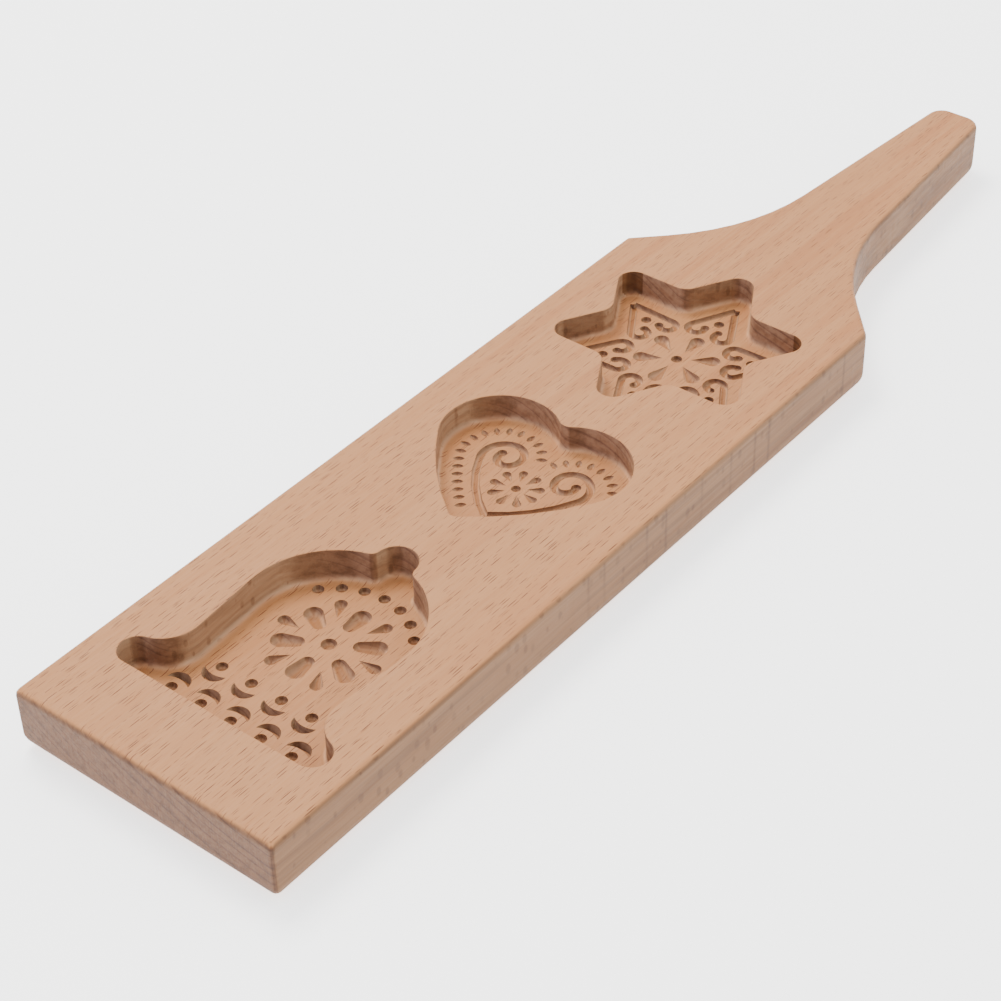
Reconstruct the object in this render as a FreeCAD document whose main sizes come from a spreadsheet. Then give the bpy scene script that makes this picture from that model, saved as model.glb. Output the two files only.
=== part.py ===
import FreeCAD, Part
import math
import os
import re
import Sketcher

# A gingerbread mould carved from one board of beech: three hollows in a row, a bell, a heart
# and a six-pointed star, and a handle sawn from the same board. The board lies on z = 0 with
# the hollows open upwards and the handle towards +X. The origin is the middle of its base.
# Lengths are millimetres and angles degrees. A name that ends in _run is a distance towards the
# handle from the motif's own start, and one that ends in _wide is a width in plan at the floor.
SIZES = {
    # The blank
    "overall_length": 386.0,
    "board_length": 258.5,
    "board_width": 88.0,
    "board_thickness": 20.0,
    "neck_run": 59.3,
    "neck_width": 28.6,
    "sweep_radius": 70.4,
    "handle_end_width": 17.8,
    "handle_end_round": 5.6,
    "handle_shift": 0.7,
    "top_edge_round": 2.0,
    "base_edge_round": 5.0,
    "corner_round": 1.3,
    # The bell
    "bell_start": 24.2,
    "bell_depth": 10.3,
    "bell_mouth_width": 70.5,
    "bell_mouth_round": 5.0,
    "bell_flare_radius": 11.1,
    "bell_waist_width": 47.7,
    "bell_dome_run": 44.6,
    "bell_dome_radius": 25.7,
    "bell_neck_round": 2.9,
    "bell_knob_run": 71.2,
    "bell_knob_radius": 6.1,
    "bell_shift": 0.5,
    "bell_rosette_run": 44.1,
    "bell_eye_wide": 4.4,
    "bell_petal_inner": 6.6,
    "bell_petal_outer": 15.7,
    "bell_petal_wide": 5.3,
    "bell_petal_depth": 2.4,
    "bell_drop_inner": 10.3,
    "bell_drop_outer": 17.6,
    "bell_drop_wide": 3.6,
    "bell_drop_depth": 2.0,
    "bell_arc_radius": 22.2,
    "bell_arc_step": 16.4,
    "bell_dot_wide": 3.4,
    "bell_row_pitch": 10.4,
    "bell_row_shift": 0.7,
    "bell_front_dot_run": 7.7,
    "bell_front_crescent_run": 9.9,
    "bell_back_crescent_run": 18.6,
    "bell_back_dot_run": 21.0,
    "crescent_half_height": 3.7,
    "crescent_bulge": 3.7,
    "crescent_hollow": 1.1,
    "crescent_depth": 2.0,
    # The heart
    "heart_start": 119.1,
    "heart_depth": 8.7,
    "heart_tip_round": 2.5,
    "heart_lobe_run": 36.4,
    "heart_lobe_offset": 12.5,
    "heart_lobe_radius": 17.5,
    "heart_notch_round": 3.4,
    "heart_flank_radius": 90.6,
    "heart_rosette_run": 27.6,
    "heart_eye_wide": 2.8,
    "heart_petal_inner": 3.1,
    "heart_petal_outer": 8.2,
    "heart_petal_wide": 2.6,
    "heart_petal_depth": 1.5,
    "heart_leaf_inset": 5.7,
    "heart_leaf_long": 3.5,
    "heart_leaf_wide": 1.6,
    "heart_leaf_blunt": 1.6,
    "heart_leaf_depth": 1.2,
    "heart_leaf_pitch": 3.5,
    "heart_scroll_run": 13.3,
    "heart_scroll_heading": 57.0,
    "heart_scroll_wide": 2.2,
    "heart_scroll_ball_wide": 2.9,
    # The star
    "star_run": 223.8,
    "star_depth": 8.6,
    "star_edge_distance": 20.6,
    "star_tip_round": 4.7,
    "star_inner_round": 5.6,
    "star_eye_wide": 3.4,
    "star_petal_inner": 4.1,
    "star_petal_outer": 13.1,
    "star_petal_wide": 4.1,
    "star_petal_depth": 2.1,
    "star_chevron_reach": 30.2,
    "star_chevron_spread": 33.5,
    "star_chevron_arm": 13.6,
    "star_chevron_wide": 1.9,
    "star_curl_radius": 2.5,
    "star_curl_sweep": 232.0,
    "star_curl_ball_wide": 2.6,
    "star_dot_radius": 22.2,
    "star_dot_wide": 3.2,
    # All the hollows
    "floor_chamfer": 1.6,
    "dot_steepness": 0.55,
    "groove_steepness": 0.7,
}

# How many times each cut is repeated
BELL_PETALS = 6
BELL_ARC_DOTS = 7
BELL_FRONT_ROW = 5
BELL_BACK_ROW = 4
HEART_PETALS = 9
HEART_FLANK_LEAVES = 7
HEART_LOBE_LEAVES = 12
STAR_POINTS = 6

# The scroll beside the heart's rosette: the radius of each arc and how far it turns
SCROLL_ARCS = (("scroll_stem", 42.0, 30.0), ("scroll_shoulder", 7.6, 87.0),
               ("scroll_turn", 4.9, 140.0), ("scroll_eye", 3.0, 185.0))

LEFT = 1
RIGHT = -1
START, END, CENTRE = 1, 2, 3


def makeSheet(doc):
    sheet = doc.addObject("Spreadsheet::Sheet", "sizes")
    values = dict(SIZES)
    for name, radius, sweep in SCROLL_ARCS:
        values[name + "_radius"] = radius
        values[name + "_sweep"] = sweep
    for row, (name, number) in enumerate(values.items(), start=1):
        sheet.set(f"A{row}", name)
        sheet.set(f"B{row}", str(number))
        sheet.setAlias(f"B{row}", name)
    doc.recompute()
    return sheet


def cells(formula):
    # A formula's words that name a size are read from the sheet
    def link(word):
        known = word.group() in SIZES or word.group().startswith("scroll_")
        return "sizes." + word.group() if known else word.group()
    return re.sub("[a-z_]+", link, formula)


def valueOf(sketch, formula):
    return float(sketch.evalExpression(cells(formula)))


def originPlane(body, role):
    return next(item for item in body.Origin.OriginFeatures if item.Role == role)


def placedSketch(body, name, x, y="0", z="0", turn="0"):
    # A level sketch with its own zero at x, y, z and turned about the vertical
    sketch = body.newObject("Sketcher::SketchObject", name)
    sketch.AttachmentSupport = [(originPlane(body, "XY_Plane"), "")]
    sketch.MapMode = "FlatFace"
    sketch.setExpression("AttachmentOffset.Base.x", cells(x))
    sketch.setExpression("AttachmentOffset.Base.y", cells(y))
    sketch.setExpression("AttachmentOffset.Base.z", cells(z))
    sketch.setExpression("AttachmentOffset.Rotation.Angle", cells(turn))
    return sketch


def bind(sketch, kind, *where, formula):
    number = sketch.addConstraint(Sketcher.Constraint(kind, *where, valueOf(sketch, formula)))
    sketch.setExpression(f"Constraints[{number}]", cells(formula))


def bindPoint(sketch, geometry, point, x=None, y=None):
    if x is not None:
        bind(sketch, "DistanceX", geometry, point, formula=x)
    if y is not None:
        bind(sketch, "DistanceY", geometry, point, formula=y)


def bindAngle(sketch, geometry, formula):
    angle = math.radians(valueOf(sketch, formula))
    number = sketch.addConstraint(Sketcher.Constraint("Angle", geometry, angle))
    sketch.setExpression(f"Constraints[{number}]", cells(f"( {formula} ) * 1 deg"))


def vector(x, y):
    return FreeCAD.Vector(x, y, 0)


def arcAround(centre, radius, first, last, side):
    # The arc from direction first to direction last, travelled to the left or to the right
    circle = Part.Circle(centre, FreeCAD.Vector(0, 0, 1), radius)
    if side == LEFT:
        return Part.ArcOfCircle(circle, first, last)
    return Part.ArcOfCircle(circle, last, first)


def drawOutline(sketch, rounds):
    # A closed outline, counter-clockwise, round circles given as x, y, radius, side and pins.
    # Straight runs between circles are their common tangents, and circles that touch join up.
    # A circle with no radius is a sharp corner, and pins names the coordinates that hold it.
    count = len(rounds)
    spots = [vector(valueOf(sketch, x), valueOf(sketch, y)) for x, y, *rest in rounds]
    radii = [valueOf(sketch, radius) * side for x, y, radius, side, pins in rounds]
    headings = []
    lengths = []
    for here in range(count):
        after = (here + 1) % count
        step = spots[after] - spots[here]
        lean = (radii[after] - radii[here]) / step.Length
        headings.append(math.atan2(step.y, step.x) - math.asin(max(-1.0, min(1.0, lean))))
        lengths.append(math.sqrt(max(0.0, 1.0 - lean * lean)) * step.Length)
    arcs = []
    for here, (x, y, radius, side, pins) in enumerate(rounds):
        arcs.append(None)
        if radii[here] == 0:
            continue
        first = headings[here - 1] - side * math.pi / 2
        last = headings[here] - side * math.pi / 2
        curve = arcAround(spots[here], abs(radii[here]), first, last, side)
        arcs[here] = sketch.addGeometry(curve, False)
        bind(sketch, "Radius", arcs[here], formula=radius)
        bindPoint(sketch, arcs[here], CENTRE, x if "x" in pins else None, y if "y" in pins else None)
    lines = []
    for here in range(count):
        lines.append(None)
        if lengths[here] < 1e-4:
            continue
        after = (here + 1) % count
        across = vector(-math.sin(headings[here]), math.cos(headings[here]))
        near = spots[here] - across * radii[here]
        far = spots[after] - across * radii[after]
        lines[here] = sketch.addGeometry(Part.LineSegment(near, far), False)
    for here, (x, y, radius, side, pins) in enumerate(rounds):
        before = (here - 1) % count
        after = (here + 1) % count
        if arcs[here] is None:
            sketch.addConstraint(
                Sketcher.Constraint("Coincident", lines[before], END, lines[here], START))
            bindPoint(sketch, lines[here], START, x, y)
            continue
        arrive, leave = (START, END) if side == LEFT else (END, START)
        if lines[before] is not None:
            sketch.addConstraint(
                Sketcher.Constraint("Tangent", lines[before], END, arcs[here], arrive))
        if lines[here] is not None:
            sketch.addConstraint(
                Sketcher.Constraint("Tangent", arcs[here], leave, lines[here], START))
        else:
            meet = START if rounds[after][3] == LEFT else END
            sketch.addConstraint(
                Sketcher.Constraint("Tangent", arcs[here], leave, arcs[after], meet))


def drawPath(sketch, heading, runs):
    # An open path from the sketch's zero. A run is a straight length, or the radius and sweep
    # of a right-hand turn, and each run leaves in the direction in which the last one ended.
    # It returns the formulas of the place where the path ends.
    x, y = "0", "0"
    previous = None
    for run in runs:
        here = vector(valueOf(sketch, x), valueOf(sketch, y))
        if len(run) == 1:
            x, y = f"{x} + {run[0]} * cos( {heading} )", f"{y} + {run[0]} * sin( {heading} )"
            there = vector(valueOf(sketch, x), valueOf(sketch, y))
            piece = sketch.addGeometry(Part.LineSegment(here, there), False)
            bind(sketch, "Distance", piece, formula=run[0])
            bindAngle(sketch, piece, heading)
            arrive, leave = START, END
        else:
            radius, sweep = run
            centre_x = f"{x} + {radius} * sin( {heading} )"
            centre = vector(valueOf(sketch, centre_x), here.y
                            - valueOf(sketch, f"{radius} * cos( {heading} )"))
            first = math.radians(valueOf(sketch, f"{heading} + 90"))
            last = first - math.radians(valueOf(sketch, sweep))
            curve = arcAround(centre, valueOf(sketch, radius), first, last, RIGHT)
            piece = sketch.addGeometry(curve, False)
            bind(sketch, "Radius", piece, formula=radius)
            bindAngle(sketch, piece, sweep)
            if previous is None:
                bindPoint(sketch, piece, CENTRE, centre_x)
            after = f"( {heading} - {sweep} )"
            x = f"{x} + {radius} * ( sin( {heading} ) - sin( {after} ) )"
            y = f"{y} + {radius} * ( cos( {after} ) - cos( {heading} ) )"
            heading = after
            arrive, leave = END, START
        if previous is None:
            bindPoint(sketch, piece, arrive, "0", "0")
        else:
            sketch.addConstraint(Sketcher.Constraint("Tangent", *previous, piece, arrive))
        previous = (piece, leave)
    return x, y


def edgesWhere(shape, test):
    return [f"Edge{number}" for number, edge in enumerate(shape.Edges, start=1) if test(edge)]


def levelEdges(shape, height):
    # The edges that lie wholly at one height
    return edgesWhere(shape, lambda edge: abs(edge.BoundBox.ZMin - height) < 1e-4
                      and abs(edge.BoundBox.ZMax - height) < 1e-4)


def softenEdges(body, name, names, size, kind="Fillet"):
    base = body.Tip
    feature = body.newObject("PartDesign::" + kind, name)
    feature.Base = (base, names)
    feature.setExpression("Radius" if kind == "Fillet" else "Size", cells(size))
    body.Tip = feature
    body.Document.recompute()


def hollow(body, name, sketch, depth):
    # A cut straight down from the sketch
    pocket = body.newObject("PartDesign::Pocket", name)
    pocket.Profile = sketch
    pocket.Reversed = False
    pocket.setExpression("Length", cells(depth))
    body.Tip = pocket
    body.Document.recompute()
    return pocket


def drawCorners(sketch, places):
    # A closed outline with straight sides
    count = len(places)
    spots = [vector(valueOf(sketch, x), valueOf(sketch, y)) for x, y in places]
    for here, (x, y) in enumerate(places):
        sketch.addGeometry(Part.LineSegment(spots[here], spots[(here + 1) % count]), False)
        bindPoint(sketch, here, START, x, y)
    for here in range(count):
        after = (here + 1) % count
        sketch.addConstraint(Sketcher.Constraint("Coincident", here, END, after, START))


def cutChip(body, name, place, corners, deepest, depth):
    # A chip with straight-sided rim in place, whose deepest point lies on the rim's axis
    x, y, z, turn = place
    rim = placedSketch(body, name + "_outline", x, y, z, turn)
    drawCorners(rim, corners)
    point = placedSketch(body, name + "_deepest", x, y, f"{z} - {depth}", turn)
    point.addGeometry(Part.Point(vector(valueOf(point, deepest), 0)), False)
    bindPoint(point, 0, START, deepest, "0")
    body.Document.recompute()
    chip = body.newObject("PartDesign::SubtractiveLoft", name)
    chip.Profile = rim
    chip.Sections = [(point, ["Vertex1"])]
    chip.Ruled = True
    body.Tip = chip
    body.Document.recompute()
    return rim, chip


def cutDot(body, name, x, y, z, wide):
    # A dimple with eight sides that meet in a point
    corners = [(f"{wide} / 2 * cos( {turn} )", f"{wide} / 2 * sin( {turn} )")
               for turn in range(0, 360, 45)]
    return cutChip(body, name, (x, y, z, "0"), corners, "0", f"{wide} * dot_steepness")


def drawCrescent(sketch, x, side):
    # Two arcs that meet in horns at x, bulging towards +X for LEFT and -X for RIGHT
    half = valueOf(sketch, "crescent_half_height")
    sign = "+" if side == LEFT else "-"
    arcs = []
    for bulge in ("crescent_bulge", "crescent_hollow"):
        radius = f"( crescent_half_height ^ 2 + {bulge} ^ 2 ) / ( 2 * {bulge} )"
        centre_x = f"{x} {sign} ( {bulge} - {radius} )"
        centre = vector(valueOf(sketch, centre_x), 0)
        middle = 0 if side == LEFT else math.pi
        spread = math.atan2(half, side * (valueOf(sketch, x) - centre.x))
        curve = arcAround(centre, valueOf(sketch, radius), middle - spread, middle + spread, LEFT)
        arcs.append(sketch.addGeometry(curve, False))
        bindPoint(sketch, arcs[-1], CENTRE, centre_x)
    low, high = (START, END) if side == LEFT else (END, START)
    bindPoint(sketch, arcs[0], low, x, "-crescent_half_height")
    bindPoint(sketch, arcs[0], high, x, "crescent_half_height")
    for end in (START, END):
        sketch.addConstraint(Sketcher.Constraint("Coincident", arcs[0], end, arcs[1], end))


def repeat(body, name, cuts, moves):
    # The cuts are repeated by one pattern, or by several that follow each other
    last = cuts[-1]
    if len(moves) == 1:
        kind, settings = moves[0]
        pattern = body.newObject("PartDesign::" + kind, name)
        pattern.Originals = cuts
        setPattern(pattern, settings)
        body.Tip = pattern
    else:
        pattern = body.newObject("PartDesign::MultiTransform", name)
        pattern.Originals = cuts
        steps = []
        for number, (kind, settings) in enumerate(moves, start=1):
            step = body.newObject("PartDesign::" + kind, f"{name}_step_{number}")
            setPattern(step, settings)
            steps.append(step)
        pattern.Transformations = steps
        body.Tip = pattern
    body.Document.recompute()
    if not pattern.Shape.Volume < last.Shape.Volume:
        raise ValueError(name + " cuts nothing")
    return pattern


def setPattern(pattern, settings):
    for key, wanted in settings.items():
        if isinstance(wanted, str):
            pattern.setExpression(key, cells(wanted))
        else:
            setattr(pattern, key, wanted)


def ring(sketch, count):
    return "PolarPattern", {"Axis": (sketch, ["N_Axis"]), "Angle": 360.0, "Occurrences": count}


def fan(sketch, count, step, side):
    # Copies a step apart, counter-clockwise from above for LEFT
    return "PolarPattern", {"Axis": (sketch, ["N_Axis"]), "Reversed": side == RIGHT,
                            "Occurrences": count, "Angle": f"( {step} ) * {count - 1}"}


def row(sketch, count, pitch):
    return "LinearPattern", {"Direction": (sketch, ["V_Axis"]), "Occurrences": count,
                             "Length": f"( {pitch} ) * {count - 1}"}


FRONT = "- overall_length / 2"
SHOULDER = "- overall_length / 2 + board_length"
BELL_FLOOR = "board_thickness - bell_depth"
HEART_FLOOR = "board_thickness - heart_depth"
STAR_FLOOR = "board_thickness - star_depth"

# The centre of the heart's right flank, whose arc runs on into the tip and the lobe
LOBE_REACH = "( ( heart_lobe_run - heart_tip_round ) ^ 2 + heart_lobe_offset ^ 2 ) ^ 0.5"
FLANK_REACH = "( heart_flank_radius - heart_tip_round )"
FLANK_LEAN = (f"( acos( ( {FLANK_REACH} ^ 2 + {LOBE_REACH} ^ 2"
              " - ( heart_flank_radius - heart_lobe_radius ) ^ 2 )"
              f" / ( 2 * {FLANK_REACH} * {LOBE_REACH} ) )"
              " - atan2( heart_lobe_offset ; heart_lobe_run - heart_tip_round ) )")
FLANK_X = f"( heart_tip_round + {FLANK_REACH} * cos( {FLANK_LEAN} ) )"
FLANK_Y = f"( {FLANK_REACH} * sin( {FLANK_LEAN} ) )"


def makeBlank(body):
    # The board and its handle in plan, then the softened edges
    sketch = placedSketch(body, "blank_outline", "0")
    sweep_x = SHOULDER + " + neck_run"
    sweep_y = "( neck_width / 2 + sweep_radius )"
    end_x = "overall_length / 2 - handle_end_round"
    end_y = "( handle_end_width / 2 - handle_end_round )"
    drawOutline(sketch, (
        (FRONT, "- board_width / 2", "0", LEFT, "xy"),
        (SHOULDER, "- board_width / 2", "0", LEFT, "xy"),
        (sweep_x, f"- handle_shift - {sweep_y}", "sweep_radius", RIGHT, "xy"),
        (end_x, f"- handle_shift - {end_y}", "handle_end_round", LEFT, "xy"),
        (end_x, f"- handle_shift + {end_y}", "handle_end_round", LEFT, "xy"),
        (sweep_x, f"- handle_shift + {sweep_y}", "sweep_radius", RIGHT, "xy"),
        (SHOULDER, "board_width / 2", "0", LEFT, "xy"),
        (FRONT, "board_width / 2", "0", LEFT, "xy")))
    blank = body.newObject("PartDesign::Pad", "blank")
    blank.Profile = sketch
    blank.setExpression("Length", cells("board_thickness"))
    body.Tip = blank
    body.Document.recompute()
    softenEdges(body, "base_edges", levelEdges(blank.Shape, 0), "base_edge_round")
    top = valueOf(sketch, "board_thickness")
    softenEdges(body, "top_edges", levelEdges(body.Tip.Shape, top), "top_edge_round")
    front = valueOf(sketch, FRONT)
    softenEdges(body, "front_corners", edgesWhere(
        body.Tip.Shape, lambda edge: abs(edge.CenterOfMass.x - front) < 1e-4
        and edge.BoundBox.YLength < 1e-4), "corner_round")


def makeBell(body):
    # Outlined with the mouth line at x = 0 and the knob towards +X
    start = f"{FRONT} + bell_start"
    sketch = placedSketch(body, "bell_outline", start, "- bell_shift", "board_thickness")
    corner_y = "( bell_mouth_width / 2 - bell_mouth_round )"
    flare_y = "( bell_waist_width / 2 + bell_flare_radius )"
    flare_x = (f"bell_mouth_round + ( ( bell_flare_radius + bell_mouth_round ) ^ 2"
               f" - ( {flare_y} - {corner_y} ) ^ 2 ) ^ 0.5")
    reach = "( bell_dome_radius + bell_neck_round )"
    lean = (f"acos( ( {reach} ^ 2 + ( bell_knob_run - bell_dome_run ) ^ 2"
            f" - ( bell_knob_radius + bell_neck_round ) ^ 2 )"
            f" / ( 2 * {reach} * ( bell_knob_run - bell_dome_run ) ) )")
    neck_x = f"bell_dome_run + {reach} * cos( {lean} )"
    neck_y = f"{reach} * sin( {lean} )"
    dome = ("bell_dome_run", "0", "bell_dome_radius", LEFT, "xy")
    drawOutline(sketch, (
        ("bell_mouth_round", f"- {corner_y}", "bell_mouth_round", LEFT, "xy"),
        (flare_x, f"- {flare_y}", "bell_flare_radius", RIGHT, "y"),
        dome,
        (neck_x, f"- {neck_y}", "bell_neck_round", RIGHT, ""),
        ("bell_knob_run", "0", "bell_knob_radius", LEFT, "xy"),
        (neck_x, neck_y, "bell_neck_round", RIGHT, ""),
        dome,
        (flare_x, flare_y, "bell_flare_radius", RIGHT, "y"),
        ("bell_mouth_round", corner_y, "bell_mouth_round", LEFT, "xy")))
    hollow(body, "bell_hollow", sketch, "bell_depth")
    floor = valueOf(sketch, BELL_FLOOR)
    softenEdges(body, "bell_floor_edges", levelEdges(body.Tip.Shape, floor), "floor_chamfer",
                "Chamfer")


def makeHeart(body):
    # Outlined with the tip at x = 0 and the notch towards +X
    start = f"{FRONT} + heart_start"
    sketch = placedSketch(body, "heart_outline", start, z="board_thickness")
    notch_x = ("heart_lobe_run + ( ( heart_lobe_radius + heart_notch_round ) ^ 2"
               " - heart_lobe_offset ^ 2 ) ^ 0.5")
    drawOutline(sketch, (
        ("heart_tip_round", "0", "heart_tip_round", LEFT, "xy"),
        (FLANK_X, FLANK_Y, "heart_flank_radius", LEFT, ""),
        ("heart_lobe_run", "- heart_lobe_offset", "heart_lobe_radius", LEFT, "xy"),
        (notch_x, "0", "heart_notch_round", RIGHT, ""),
        ("heart_lobe_run", "heart_lobe_offset", "heart_lobe_radius", LEFT, "xy"),
        (FLANK_X, "- " + FLANK_Y, "heart_flank_radius", LEFT, "")))
    hollow(body, "heart_hollow", sketch, "heart_depth")
    floor = valueOf(sketch, HEART_FLOOR)
    softenEdges(body, "heart_floor_edges", levelEdges(body.Tip.Shape, floor), "floor_chamfer",
                "Chamfer")


def makeStar(body):
    # One rounded triangle, cut again turned half round, makes the six points
    start = f"{FRONT} + star_run"
    sketch = placedSketch(body, "star_outline", start, z="board_thickness")
    reach = "2 * ( star_edge_distance - star_tip_round )"
    drawOutline(sketch, [
        (f"{reach} * cos( {angle} )", f"{reach} * sin( {angle} )", "star_tip_round", LEFT, "xy")
        for angle in (0, 120, 240)])
    pocket = hollow(body, "star_hollow", sketch, "star_depth")
    repeat(body, "star_hollow_turned", [pocket], [ring(sketch, 2)])
    centre = vector(valueOf(sketch, start), 0)
    reach = valueOf(sketch, "star_edge_distance") / math.cos(math.radians(30))
    softenEdges(body, "star_inner_edges", edgesWhere(
        body.Tip.Shape, lambda edge: edge.BoundBox.ZLength > 1
        and edge.BoundBox.XLength < 1e-4
        and abs(math.hypot(edge.CenterOfMass.x - centre.x, edge.CenterOfMass.y) - reach) < 1e-3),
        "star_inner_round")
    floor = valueOf(sketch, STAR_FLOOR)
    softenEdges(body, "star_floor_edges", levelEdges(body.Tip.Shape, floor), "floor_chamfer",
                "Chamfer")


def cutRosette(body, name, x, z, turn, count, kind):
    # Petals in a ring, pointed inwards and blunt outwards, sized by the cells that start with kind
    radius = f"{kind}_wide / 2"
    centre = f"{kind}_outer - {radius}"
    corners = [(f"{kind}_inner", "0")]
    corners += [(f"{centre} + {radius} * cos( {bend} )", f"{radius} * sin( {bend} )")
                for bend in (-90, -30, 30, 90)]
    rim, petal = cutChip(body, name, (x, "0", z, turn), corners, centre, kind + "_depth")
    repeat(body, name + "_ring", [petal], [ring(rim, count)])


def cutGroove(body, name, path, x, z, heading, wide):
    # A V-shaped groove along a level path that starts at x on the board's middle line
    section = body.newObject("Sketcher::SketchObject", name + "_section")
    section.AttachmentSupport = [(originPlane(body, "YZ_Plane"), "")]
    section.MapMode = "FlatFace"
    section.AttachmentOffset = FreeCAD.Placement(
        FreeCAD.Vector(), FreeCAD.Rotation(FreeCAD.Vector(0, 1, 0), 1))
    section.setExpression("AttachmentOffset.Base.y", cells(z))
    section.setExpression("AttachmentOffset.Base.z", cells(x))
    section.setExpression("AttachmentOffset.Rotation.Angle", cells(heading))
    depth = f"{wide} * groove_steepness"
    drawCorners(section, ((f"- {wide} / 2", "0"), ("0", f"- {depth}"), (f"{wide} / 2", "0"),
                          ("0", depth)))
    body.Document.recompute()
    groove = body.newObject("PartDesign::SubtractivePipe", name)
    groove.Profile = section
    groove.Spine = (path, [])
    body.Tip = groove
    body.Document.recompute()
    return groove


def mirrored(body):
    return "Mirrored", {"MirrorPlane": (originPlane(body, "XZ_Plane"), [""])}


def carveBell(body):
    start = f"{FRONT} + bell_start"
    middle = f"{start} + bell_rosette_run"
    cutDot(body, "bell_eye", middle, "0", BELL_FLOOR, "bell_eye_wide")
    cutRosette(body, "bell_petals", middle, BELL_FLOOR, "0", BELL_PETALS, "bell_petal")
    cutRosette(body, "bell_drops", middle, BELL_FLOOR, f"180 / {BELL_PETALS}", BELL_PETALS,
               "bell_drop")
    spread = f"( bell_arc_step * {(BELL_ARC_DOTS - 1) / 2} )"
    rim, dot = cutDot(body, "bell_arc_dot", f"{middle} + bell_arc_radius * cos( {spread} )",
                      f"bell_arc_radius * sin( {spread} )", BELL_FLOOR, "bell_dot_wide")
    centre = placedSketch(body, "bell_arc_centre", middle)
    repeat(body, "bell_arc_dots", [dot], [fan(centre, BELL_ARC_DOTS, "bell_arc_step", RIGHT)])
    rows = (("bell_front", BELL_FRONT_ROW, LEFT), ("bell_back", BELL_BACK_ROW, RIGHT))
    for name, count, side in rows:
        low = f"bell_row_shift - bell_row_pitch * {(count - 1) / 2}"
        rim, dot = cutDot(body, name + "_dot", f"{start} + {name}_dot_run", low, BELL_FLOOR,
                          "bell_dot_wide")
        rim = placedSketch(body, name + "_crescent_outline", start, low, BELL_FLOOR)
        drawCrescent(rim, name + "_crescent_run", side)
        crescent = hollow(body, name + "_crescent", rim, "crescent_depth")
        repeat(body, name + "_row", [dot, crescent], [row(rim, count, "bell_row_pitch")])


def cutLeaf(body, name, place, radius):
    # A leaf pointed at both ends, inside the rim of that radius whose centre is the place
    outer = f"( {radius} - heart_leaf_inset + heart_leaf_long / 2 )"
    widest = f"{outer} - heart_leaf_blunt"
    corners = ((f"{outer} - heart_leaf_long", "0"), (widest, "- heart_leaf_wide / 2"),
               (outer, "0"), (widest, "heart_leaf_wide / 2"))
    return cutChip(body, name, place, corners, widest, "heart_leaf_depth")


def carveHeart(body):
    start = f"{FRONT} + heart_start"
    middle = f"{start} + heart_rosette_run"
    cutDot(body, "heart_eye", middle, "0", HEART_FLOOR, "heart_eye_wide")
    cutRosette(body, "heart_petals", middle, HEART_FLOOR, "180", HEART_PETALS, "heart_petal")
    joint = f"( 180 deg - atan2( heart_lobe_offset + {FLANK_Y} ; {FLANK_X} - heart_lobe_run ) )"
    for name, count, side, radius, x, y in (
            ("heart_flank", HEART_FLANK_LEAVES, LEFT, "heart_flank_radius", FLANK_X,
             "- " + FLANK_Y),
            ("heart_lobe", HEART_LOBE_LEAVES, RIGHT, "heart_lobe_radius", "heart_lobe_run",
             "heart_lobe_offset")):
        step = f"( heart_leaf_pitch / ( {radius} - heart_leaf_inset ) * 180 / pi )"
        first = f"{joint} + {side} * {step} / 2 * 1 deg"
        rim, leaf = cutLeaf(body, name + "_leaf", (f"{start} + {x}", y, HEART_FLOOR, first), radius)
        repeat(body, name + "_leaves", [leaf], [fan(rim, count, step, side), mirrored(body)])
    scroll = f"{start} + heart_scroll_run"
    path = placedSketch(body, "heart_scroll_path", scroll, z=HEART_FLOOR)
    runs = [(name + "_radius", name + "_sweep") for name, radius, sweep in SCROLL_ARCS]
    end_x, end_y = drawPath(path, "heart_scroll_heading", runs)
    groove = cutGroove(body, "heart_scroll", path, scroll, HEART_FLOOR, "heart_scroll_heading",
                       "heart_scroll_wide")
    rim, ball = cutDot(body, "heart_scroll_ball", f"{scroll} + {end_x}", end_y, HEART_FLOOR,
                       "heart_scroll_ball_wide")
    repeat(body, "heart_scrolls", [groove, ball], [mirrored(body)])


def carveStar(body):
    centre = f"{FRONT} + star_run"
    cutDot(body, "star_eye", centre, "0", STAR_FLOOR, "star_eye_wide")
    cutRosette(body, "star_petals", centre, STAR_FLOOR, "0", STAR_POINTS, "star_petal")
    tip = f"{centre} + star_chevron_reach"
    heading = "( 180 + star_chevron_spread )"
    path = placedSketch(body, "star_chevron_path", tip, z=STAR_FLOOR)
    end_x, end_y = drawPath(path, heading, [("star_chevron_arm",),
                                            ("star_curl_radius", "star_curl_sweep")])
    groove = cutGroove(body, "star_chevron", path, tip, STAR_FLOOR, heading,
                       "star_chevron_wide")
    rim, ball = cutDot(body, "star_curl_ball", f"{tip} + {end_x}", end_y, STAR_FLOOR,
                       "star_curl_ball_wide")
    middle = placedSketch(body, "star_centre", centre)
    repeat(body, "star_chevrons", [groove, ball], [mirrored(body), ring(middle, STAR_POINTS)])
    rim, dot = cutDot(body, "star_dot", f"{centre} + star_dot_radius", "0", STAR_FLOOR,
                      "star_dot_wide")
    repeat(body, "star_dots", [dot], [ring(middle, STAR_POINTS)])


def checkParts(doc, bodies):
    for item in doc.Objects:
        if "Invalid" in item.State or "Error" in item.State:
            raise ValueError(f"{item.Label}: {item.getStatusString()}")
    for body in bodies:
        if body.Shape.isNull() or not body.Shape.isValid() or len(body.Shape.Solids) != 1:
            raise ValueError(body.Label + " is not one sound solid")


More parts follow.
